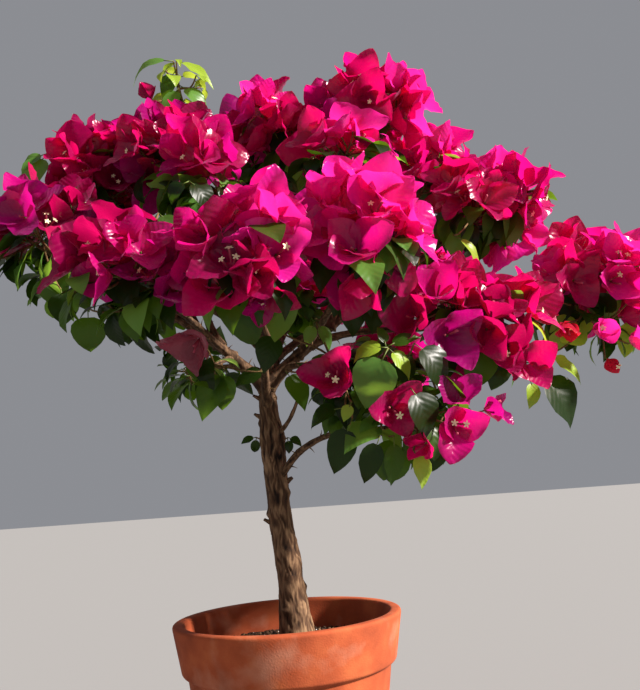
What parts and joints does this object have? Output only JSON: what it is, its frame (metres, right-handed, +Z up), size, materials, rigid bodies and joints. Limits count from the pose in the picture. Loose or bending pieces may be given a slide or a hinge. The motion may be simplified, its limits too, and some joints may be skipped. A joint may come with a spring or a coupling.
{
  "type": "bougainvillea bush in a pot",
  "caption": "Small bougainvillea grown as a standard in a terracotta pot: one forking trunk under an open, spreading crown of magenta bracts and green leaves.",
  "frame": {"origin": "middle of the pot's flat underside, where it stands", "axes": "+Z up; +X to the right and +Y away, as the plant is seen from its front"},
  "size_m": [0.7455, 0.5352, 0.8445],
  "materials": {
    "terracotta": "unglazed fired clay, matt, with darker water stains and pale salts",
    "soil": "moist potting soil with coarse grains, matt",
    "bark": "rough brown-grey bark with long fibrous ridges and small stubs",
    "foliage": "thin papery magenta bracts and smooth green leaves, softly glossy, light shining through"
  },
  "bodies": {
    "root": {"pot": "terracotta", "soil": "soil", "trunk": "bark", "far_left_bough": "bark", "right_upper_bough": "bark", "top_middle_bough": "bark", "back_middle_bough": "bark", "low_right_bough": "bark", "front_middle_bough": "bark", "upper_left_bough": "bark", "top_left_bough": "bark", "top_shoot_bough": "bark", "front_left_bough": "bark", "inner_left_bough": "bark", "top_right_bough": "bark", "right_shoulder_bough": "bark", "far_right_bough": "bark", "right_low_bough": "bark", "front_right_bough": "bark", "low_middle_bough": "bark", "heart_left_bough": "bark", "heart_right_bough": "bark", "back_left_bough": "bark", "back_right_bough": "bark", "back_top_bough": "bark", "back_low_left_bough": "bark", "back_low_right_bough": "bark", "far_left_foliage": "foliage", "right_upper_foliage": "foliage", "top_middle_foliage": "foliage", "back_middle_foliage": "foliage", "low_right_foliage": "foliage", "front_middle_foliage": "foliage", "upper_left_foliage": "foliage", "top_left_foliage": "foliage", "top_shoot_foliage": "foliage", "front_left_foliage": "foliage", "inner_left_foliage": "foliage", "top_right_foliage": "foliage", "right_shoulder_foliage": "foliage", "far_right_foliage": "foliage", "right_low_foliage": "foliage", "front_right_foliage": "foliage", "low_middle_foliage": "foliage", "heart_left_foliage": "foliage", "heart_right_foliage": "foliage", "back_left_foliage": "foliage", "back_right_foliage": "foliage", "back_top_foliage": "foliage", "back_low_left_foliage": "foliage", "back_low_right_foliage": "foliage"}
  },
  "joints": []
}
